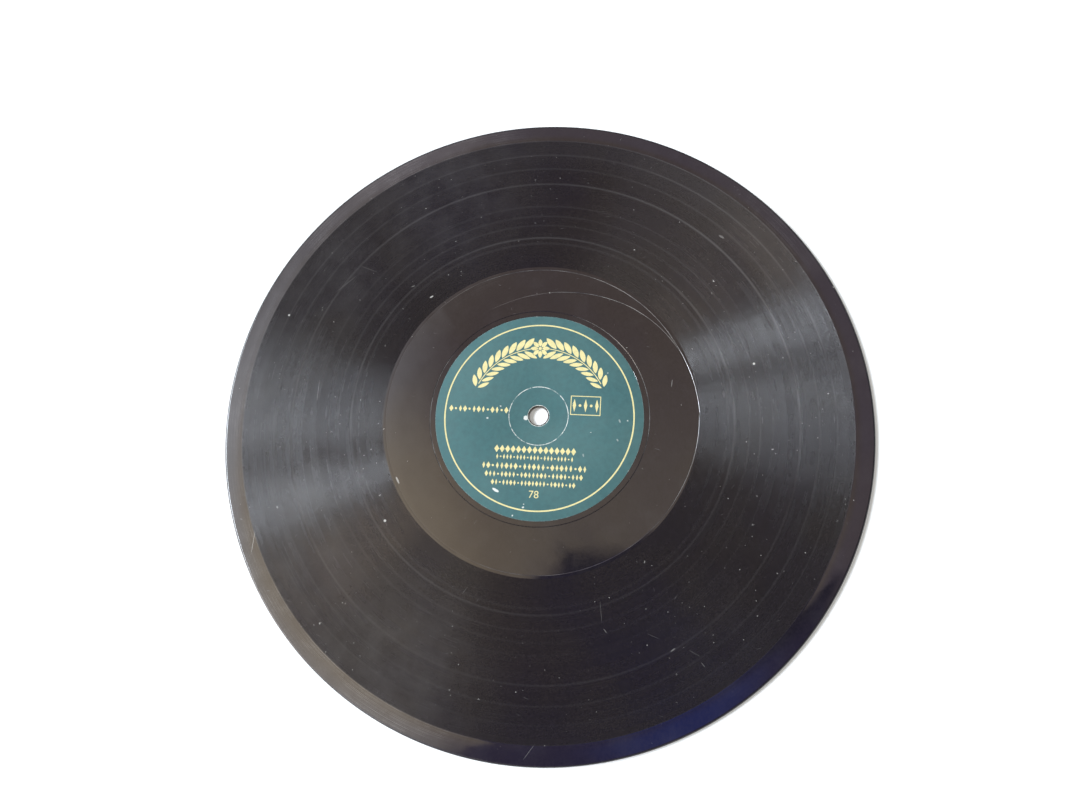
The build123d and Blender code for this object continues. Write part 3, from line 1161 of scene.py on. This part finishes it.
PRINT_A = {
    "garland": {"radius": 27.0 * MM, "start": 30.0, "end": 154.0, "pairs": 9},
    "rows": (
        (-23.4 * MM, 1.65 * MM, 22.0 * MM, 2.6 * MM, 1.8 * MM, "dio"),
        (-0.5 * MM, -13.4 * MM, 29.5 * MM, 2.9 * MM, 2.1 * MM, "dd"),
        (-0.5 * MM, -16.4 * MM, 31.0 * MM, 2.1 * MM, 1.3 * MM, "iioi"),
        (-0.5 * MM, -19.9 * MM, 40.0 * MM, 2.6 * MM, 1.75 * MM, "diiodi"),
        (-0.5 * MM, -23.1 * MM, 36.0 * MM, 2.3 * MM, 1.5 * MM, "iidio"),
        (-0.5 * MM, -26.2 * MM, 33.0 * MM, 2.2 * MM, 1.4 * MM, "idiio"),
        (17.9 * MM, 4.7 * MM, 8.8 * MM, 5.2 * MM, 2.15 * MM, "io"),
    ),
    "frame": (17.9 * MM, 4.7 * MM, 11.6 * MM, 7.6 * MM, 0.32 * MM),
    "numerals": ("78", 0.0 * MM, -30.4 * MM, 2.9 * MM),
}
PRINT_B = {
    "garland": {"radius": 27.0 * MM, "start": 30.0, "end": 154.0, "pairs": 9},
    "rows": (
        (-23.3 * MM, 1.65 * MM, 20.5 * MM, 2.5 * MM, 1.75 * MM, "ido"),
        (0.0 * MM, -13.2 * MM, 25.0 * MM, 2.6 * MM, 2.1 * MM, "d"),
        (0.0 * MM, -17.0 * MM, 35.0 * MM, 1.8 * MM, 1.5 * MM, "i-"),
        (0.0 * MM, -21.0 * MM, 31.0 * MM, 2.1 * MM, 1.9 * MM, "do"),
        (0.0 * MM, -24.6 * MM, 37.0 * MM, 1.8 * MM, 1.6 * MM, "io"),
        (17.9 * MM, 4.7 * MM, 8.8 * MM, 5.2 * MM, 2.15 * MM, "oi"),
    ),
    "frame": (17.9 * MM, 4.7 * MM, 11.6 * MM, 7.6 * MM, 0.32 * MM),
    "numerals": ("78", 0.0 * MM, -29.6 * MM, 2.9 * MM),
}

# Worn turns of each band: radius and width in mm, and strength
RINGS_A = (
    (117.9, 0.7, 0.7), (111.3, 0.8, 0.6), (105.0, 0.9, 0.55), (98.0, 0.9, 0.95), (88.0, 0.8, 0.3),
    (83.5, 0.9, 0.35), (79.5, 0.9, 0.35), (74.0, 0.9, 0.9), (71.5, 1.2, 0.3),
)
RINGS_B = (
    (117.9, 0.7, 0.7), (113.5, 1.0, 0.5), (102.0, 0.8, 0.8), (93.5, 0.9, 0.4), (86.0, 0.9, 0.55),
    (77.0, 1.0, 0.85), (68.0, 0.8, 0.35),
)
# Pale scratches and specks of each face: x, y, length, width, turn and strength
MARKS_A = (
    (82.4, 18.8, 1.0, 0.9, 0.3, 1.0), (51.2, 11.8, 3.2, 0.4, 1.42, 0.22),
    (73.1, 71.5, 2.6, 0.8, -0.6, 0.22), (-102.5, 44.0, 0.9, 0.9, 0.0, 0.9),
    (-43.4, 50.0, 1.8, 0.6, 0.5, 0.8), (-58.4, -39.6, 1.1, 1.0, 0.4, 1.0),
    (-109.5, -47.5, 9.6, 0.32, 1.48, 0.3), (-88.0, 11.8, 9.0, 0.22, 1.51, 0.16),
    (-54.2, -24.2, 3.2, 0.7, -1.1, 0.5), (22.6, -72.6, 8.0, 0.3, -1.5, 0.08),
    (24.0, -79.2, 2.0, 0.4, -0.9, 0.16), (47.7, -85.5, 2.2, 0.5, 0.6, 0.22),
    (55.1, -86.5, 4.5, 0.3, -0.5, 0.08), (41.0, -80.9, 5.0, 0.25, -0.4, 0.06),
    (-3.3, -119.8, 7.0, 0.28, 0.9, 0.12), (-51.2, 54.8, 1.6, 0.4, 0.3, 0.3),
    (58.0, -90.4, 2.4, 0.3, -0.9, 0.14), (-79.0, 57.0, 12.0, 0.5, 0.7, 0.05),
    (-70.0, 63.0, 9.0, 0.4, -0.4, 0.05), (87.1, -14.3, 1.0, 0.4, 0.2, 0.5),
)
MARKS_B = (
    (76.0, -31.0, 1.0, 0.9, 0.2, 1.0), (-66.0, 58.0, 7.0, 0.3, 0.8, 0.16),
    (-97.0, -20.0, 2.4, 0.8, 1.9, 0.25), (28.0, 88.0, 11.0, 0.3, -0.3, 0.14),
    (52.0, -14.0, 3.0, 0.4, 0.9, 0.24), (-18.0, -104.0, 4.0, 0.4, 0.2, 0.2),
    (104.0, 41.0, 0.9, 0.8, 0.0, 0.8), (-47.0, -25.0, 2.0, 0.5, 2.2, 0.3),
)
# Soft haze from handling: x, y, reach and strength
HAZES_A = (
    (-44.0, 96.0, 60.0, 0.11), (-90.0, 62.0, 50.0, 0.12), (-96.0, -50.0, 50.0, 0.13),
    (-60.0, -96.0, 55.0, 0.14), (-78.0, 42.0, 16.0, 0.06), (62.0, -80.0, 30.0, 0.03),
    (84.0, 72.0, 40.0, 0.05), (-117.0, 8.0, 34.0, 0.09),
)
HAZES_B = (
    (50.0, 84.0, 60.0, 0.10), (-92.0, 20.0, 55.0, 0.11), (70.0, -70.0, 50.0, 0.08),
)
# Bare patches of each label, given the same way as the marks
CHIPS_A = (
    (-16.3, -28.4, 3.0, 1.1, -0.55, 1.0), (-5.8, -35.0, 0.9, 0.7, 0.2, 0.9),
    (-19.8, -0.5, 0.9, 0.8, 0.4, 0.8), (-9.8, -38.0, 0.8, 0.6, 1.0, 0.9),
    (-4.9, -0.7, 1.9, 2.0, 0.1, 1.0), (-11.2, -39.4, 1.6, 0.6, 0.3, 0.8),
    (31.0, -2.6, 0.7, 1.6, 0.3, 0.35), (30.0, -10.0, 0.6, 1.2, 0.5, 0.35),
    (-5.6, -33.8, 0.5, 0.5, 0.0, 0.8), (17.0, -15.6, 0.6, 1.4, 0.2, 0.3),
)
CHIPS_B = (
    (21.0, 30.5, 2.0, 0.9, 0.8, 1.0), (-30.0, 12.0, 0.9, 0.7, 0.3, 0.8),
    (4.0, 4.6, 1.2, 1.3, 0.4, 1.0),
)


class RECORD_OT_core(bpy.types.Operator):
    """Makes the core slab and the two sheets of barrier paper"""

    bl_idname = "record.make_core"
    bl_label = "Core and Barrier Papers"

    def execute(self, context):
        layers = (
            ("core_stock_slab", "core_slab", make_core_material(), "core_stock"),
            ("barrier_sheet_a", "barrier_paper_a", make_kraft_material(), "barrier_paper"),
            ("barrier_sheet_b", "barrier_paper_b", None, "barrier_paper"),
        )
        for name, node, material, slot in layers:
            low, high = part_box(node)
            material = material or bpy.data.materials["barrier_paper"]
            outline = [(BORE_RADIUS, high.z), (BORE_RADIUS, low.z)]
            outline += rim_points(low.z, high.z, 6 if node == "core_slab" else 2)
            bm = bmesh.new()
            spin_outline(bm, outline, 288)
            bmesh.ops.recalc_face_normals(bm, faces=bm.faces)
            mark_corners(bm)
            add_piece(name, bm, [material], node)
        return {"FINISHED"}


class RECORD_OT_faces(bpy.types.Operator):
    """Makes both playing faces, each with its spiral groove"""

    bl_idname = "record.make_faces"
    bl_label = "Playing Faces"

    def execute(self, context):
        sides = (("a", 1, RINGS_A, MARKS_A, HAZES_A, False), ("b", 2, RINGS_B, MARKS_B, HAZES_B, True))
        for letter, side, rings, marks, hazes, turned in sides:
            band = make_band_material(f"grooved_shellac_{letter}", rings, marks, hazes)
            plain = make_plain_material(f"polished_shellac_{letter}", marks, hazes)
            make_playing_face(f"grooved_face_{letter}", side, [band, plain],
                              f"playing_face_{letter}", turned)
        return {"FINISHED"}


class RECORD_OT_labels(bpy.types.Operator):
    """Makes both paper labels and their print"""

    bl_idname = "record.make_labels"
    bl_label = "Labels and Print"

    def execute(self, context):
        ink = make_ink_material()
        sides = (("a", 1, CHIPS_A, PRINT_A, False), ("b", 2, CHIPS_B, PRINT_B, True))
        for letter, side, chips, layout, turned in sides:
            paper = make_label_material(f"label_paper_{letter}", chips)
            make_label(f"paper_label_{letter}", side, paper, f"label_{letter}", turned)
            make_print(f"label_print_{letter}", layout, ink, turned)
        return {"FINISHED"}


# The stage


def distance_from(tree, u, v, middle_u, middle_v):
    """How far a direction's slope is from a middle slope."""
    off_u = calc(tree, "SUBTRACT", u, middle_u)
    off_v = calc(tree, "SUBTRACT", v, middle_v)
    square = calc(tree, "MULTIPLY_ADD", off_u, off_u, calc(tree, "MULTIPLY", off_v, off_v))
    return calc(tree, "SQRT", square)


def make_world(level):
    """Even light, a plain white background for the camera, and for reflections a room that is
    bright on the left and warm overhead, with a dark flag at the front."""
    world = bpy.data.worlds.new("studio")
    bpy.context.scene.world = world
    world.use_nodes = True
    tree = world.node_tree
    tree.nodes.clear()
    direction = put(tree, "ShaderNodeTexCoord").outputs["Generated"]
    apart = put(tree, "ShaderNodeSeparateXYZ", {0: direction})
    height = apart.outputs["Z"]
    up = calc(tree, "MAXIMUM", height, 0.05)
    u = calc(tree, "DIVIDE", apart.outputs["X"], up)
    v = calc(tree, "DIVIDE", apart.outputs["Y"], up)
    ceiling = spread(tree, distance_from(tree, u, v, -0.05, 0.28), 0.42, 0.66, 1.0, 0.0)
    room = blend(tree, ceiling, (0.13, 0.12, 0.19), (1.05, 0.82, 0.76))
    front = calc(tree, "MULTIPLY", spread(tree, v, 0.36, 0.04, ease="LINEAR"),
                 spread(tree, u, -0.16, -0.10))
    front = calc(tree, "MULTIPLY", front, spread(tree, u, 0.15, 0.30, 1.0, 0.0))
    room = blend(tree, calc(tree, "MULTIPLY", front, ceiling), room, (1.68, 1.4, 1.18))
    rim = spread(tree, distance_from(tree, u, v, -0.087, 0.215), 0.33, 0.42)
    room = blend(tree, calc(tree, "MULTIPLY", rim, ceiling), room, (1.12, 0.92, 1.08))
    low = spread(tree, distance_from(tree, u, v, -2.3, -1.3), 0.5, 1.5, 0.4, 0.0)
    room = blend(tree, low, room, (6.5, 5.6, 5.0))
    slant = calc(tree, "DIVIDE", v, u)
    strip = calc(tree, "MULTIPLY", spread(tree, slant, 0.18, 0.30),
                 spread(tree, slant, 0.54, 0.72, 1.0, 0.0))
    strip = calc(tree, "MULTIPLY", strip, spread(tree, u, -1.2, -1.7))
    room = blend(tree, strip, room, (14.0, 11.4, 9.4))
    low_left = spread(tree, distance_from(tree, u, v, -0.8, -0.55), 0.25, 0.82, 0.95, 0.0)
    room = blend(tree, low_left, room, (4.2, 3.75, 3.5))
    corner = spread(tree, distance_from(tree, u, v, -0.37, -0.15), 0.04, 0.24, 0.35, 0.0)
    room = blend(tree, corner, room, (4.6, 4.0, 3.6))
    back = spread(tree, distance_from(tree, u, v, -0.30, 0.62), 0.05, 0.22, 0.8, 0.0)
    room = blend(tree, back, room, (2.3, 2.0, 2.15))
    left = calc(tree, "MULTIPLY", spread(tree, u, -0.20, -0.48, ease="LINEAR"),
                spread(tree, height, 0.74, 0.86))
    left = calc(tree, "MULTIPLY", left, spread(tree, v, 0.2, 0.5, 1.0, 0.4))
    room = blend(tree, left, room, (4.4, 4.35, 4.55))
    glow = spread(tree, distance_from(tree, u, v, -0.34, 0.01), 0.08, 0.30, 0.75, 0.0)
    room = blend(tree, glow, room, (4.2, 3.45, 2.5))
    edge = calc(tree, "SUBTRACT", calc(tree, "MULTIPLY", u, 0.886), calc(tree, "MULTIPLY", v, 0.464))
    beside = spread(tree, edge, -0.064, -0.058)
    below = spread(tree, calc(tree, "MULTIPLY_ADD", u, 0.12, v), 0.025, 0.034, 1.0, 0.0)
    inside = calc(tree, "MULTIPLY", beside, below)
    inside = calc(tree, "MULTIPLY", inside, spread(tree, u, 0.29, 0.36, 1.0, 0.0))
    inside = calc(tree, "MULTIPLY", inside, spread(tree, height, 0.3, 0.4))
    flag = blend(tree, spread(tree, v, 0.0, -0.14), (0.16, 0.15, 0.30), (0.36, 0.30, 0.68))
    blue = spread(tree, distance_from(tree, u, v, 0.10, -0.19), 0.04, 0.17, 1.0, 0.0)
    flag = blend(tree, blue, flag, (0.26, 0.36, 1.6))
    room = blend(tree, inside, room, flag)
    room = blend(tree, 1.0, room, (0.62, 0.62, 0.62), "MULTIPLY")
    room = blend(tree, spread(tree, height, 0.10, 0.22, 1.0, 0.0), room, (1.0, 1.0, 1.0))
    ray = put(tree, "ShaderNodeLightPath")
    glossy = put(tree, "ShaderNodeBackground", {"Color": room, "Strength": 1.0})
    even = put(tree, "ShaderNodeBackground", {"Color": (1, 0.985, 0.91, 1), "Strength": level})
    white = put(tree, "ShaderNodeBackground", {"Color": (1, 1, 1, 1), "Strength": 1.0})
    lit = put(tree, "ShaderNodeMixShader", {
        0: ray.outputs["Is Glossy Ray"], 1: even.outputs[0], 2: glossy.outputs[0],
    })
    seen = put(tree, "ShaderNodeMixShader", {
        0: ray.outputs["Is Camera Ray"], 1: lit.outputs[0], 2: white.outputs[0],
    })
    out = put(tree, "ShaderNodeOutputWorld")
    tree.links.new(seen.outputs[0], out.inputs["Surface"])


def add_panel(name, foot, head, width, power):
    """A tall soft panel that stands on the left, from its foot to its head, facing the disc."""
    foot, head = Vector(foot), Vector(head)
    tall = head - foot
    facing = Vector((1, 0, 0))
    side = tall.cross(facing).normalized()
    facing = side.cross(tall).normalized()
    lamp = bpy.data.lights.new(name, "AREA")
    lamp.shape = "RECTANGLE"
    lamp.size = width
    lamp.size_y = tall.length
    lamp.energy = power
    lamp.color = (0.84, 0.91, 1.0)
    panel = bpy.data.objects.new(name, lamp)
    bpy.context.scene.collection.objects.link(panel)
    turn = Matrix((side, tall.normalized(), -facing)).transposed().to_4x4()
    panel.matrix_world = Matrix.Translation((foot + head) / 2) @ turn
    panel.visible_camera = False


# Strips of the wide panel: middle and width in metres, and share of its power
WIDE_STRIPS = ((0.745, 0.46, 0.54), (1.155, 0.367, 0.30), (1.52, 0.367, 0.20))


class RECORD_OT_stage(bpy.types.Operator):
    """Makes the floor, the light and the camera"""

    bl_idname = "record.make_stage"
    bl_label = "Stage"

    def execute(self, context):
        stage = context.scene.record_stage
        context.scene.view_settings.view_transform = "Standard"
        camera = bpy.data.cameras.new("camera")
        camera.lens = stage.lens
        camera.sensor_width = 36
        camera.sensor_fit = "HORIZONTAL"
        camera.clip_start = 0.01
        eye = bpy.data.objects.new("camera", camera)
        context.scene.collection.objects.link(eye)
        look = Vector((-0.08297, 0.22397, -0.97106)).normalized()
        right = Vector((0.99637, 0, -0.08513)).normalized()
        up = right.cross(look)
        turn = Matrix((right, up, -look)).transposed().to_4x4()
        eye.matrix_world = Matrix.Translation((24.24 * MM, -59.59 * MM, 278.91 * MM)) @ turn
        context.scene.camera = eye
        bm = bmesh.new()
        bmesh.ops.create_grid(bm, x_segments=1, y_segments=1, size=1.4)
        mesh = bpy.data.meshes.new("table_top")
        bm.to_mesh(mesh)
        bm.free()
        mesh.materials.append(make_floor_material())
        floor = bpy.data.objects.new("table_top", mesh)
        floor.location.z = -0.02 * MM
        context.scene.collection.objects.link(floor)
        make_world(stage.world_level)
        add_panel("narrow_panel", (-3, -0.191, 2.1), (-3, 0.163, 4.3), 0.52, stage.tall_panel)
        # The wide panel fades away from the narrow one, in three strips
        for number, (middle, width, share) in enumerate(WIDE_STRIPS):
            foot, head = (-3, middle - 0.1, 2.4), (-3, middle + 0.161, 4.3)
            add_panel(f"wide_panel_{number}", foot, head, width, stage.wide_panel * share)
        return {"FINISHED"}


class RECORD_OT_finishes(bpy.types.Operator):
    """Makes the shader node groups that the finishes share"""

    bl_idname = "record.make_finishes"
    bl_label = "Shared Finishes"

    def execute(self, context):
        make_record_place()
        make_dust()
        make_scratches()
        make_streaks()
        make_mark()
        make_fibre()
        return {"FINISHED"}


class RECORD_PT_panel(bpy.types.Panel):
    """Lists the record's pieces and sizes"""

    bl_idname = "RECORD_PT_panel"
    bl_label = "Shellac Record"
    bl_space_type = "VIEW_3D"
    bl_region_type = "UI"
    bl_category = "Record"

    def draw(self, context):
        for operator in OPERATORS:
            self.layout.operator(operator.bl_idname)
        for group in PROPERTIES:
            box = self.layout.box()
            for name in getattr(context.scene, group).__annotations__:
                box.prop(getattr(context.scene, group), name)


PROPERTIES = {
    "record_disc": RecordDisc,
    "record_label": RecordLabel,
    "record_looks": RecordLooks,
    "record_stage": RecordStage,
}
OPERATORS = (
    RECORD_OT_stage, RECORD_OT_finishes, RECORD_OT_core, RECORD_OT_faces, RECORD_OT_labels,
)


def register():
    for name, group in PROPERTIES.items():
        bpy.utils.register_class(group)
        setattr(bpy.types.Scene, name, PointerProperty(type=group))
    for operator in OPERATORS:
        bpy.utils.register_class(operator)
    bpy.utils.register_class(RECORD_PT_panel)


def unregister():
    bpy.utils.unregister_class(RECORD_PT_panel)
    for operator in reversed(OPERATORS):
        bpy.utils.unregister_class(operator)
    for name, group in PROPERTIES.items():
        delattr(bpy.types.Scene, name)
        bpy.utils.unregister_class(group)


def main():
    register()
    bpy.ops.record.make_stage()
    bpy.ops.record.make_finishes()
    bpy.ops.record.make_core()
    bpy.ops.record.make_faces()
    bpy.ops.record.make_labels()


if __name__ == "__main__":
    main()
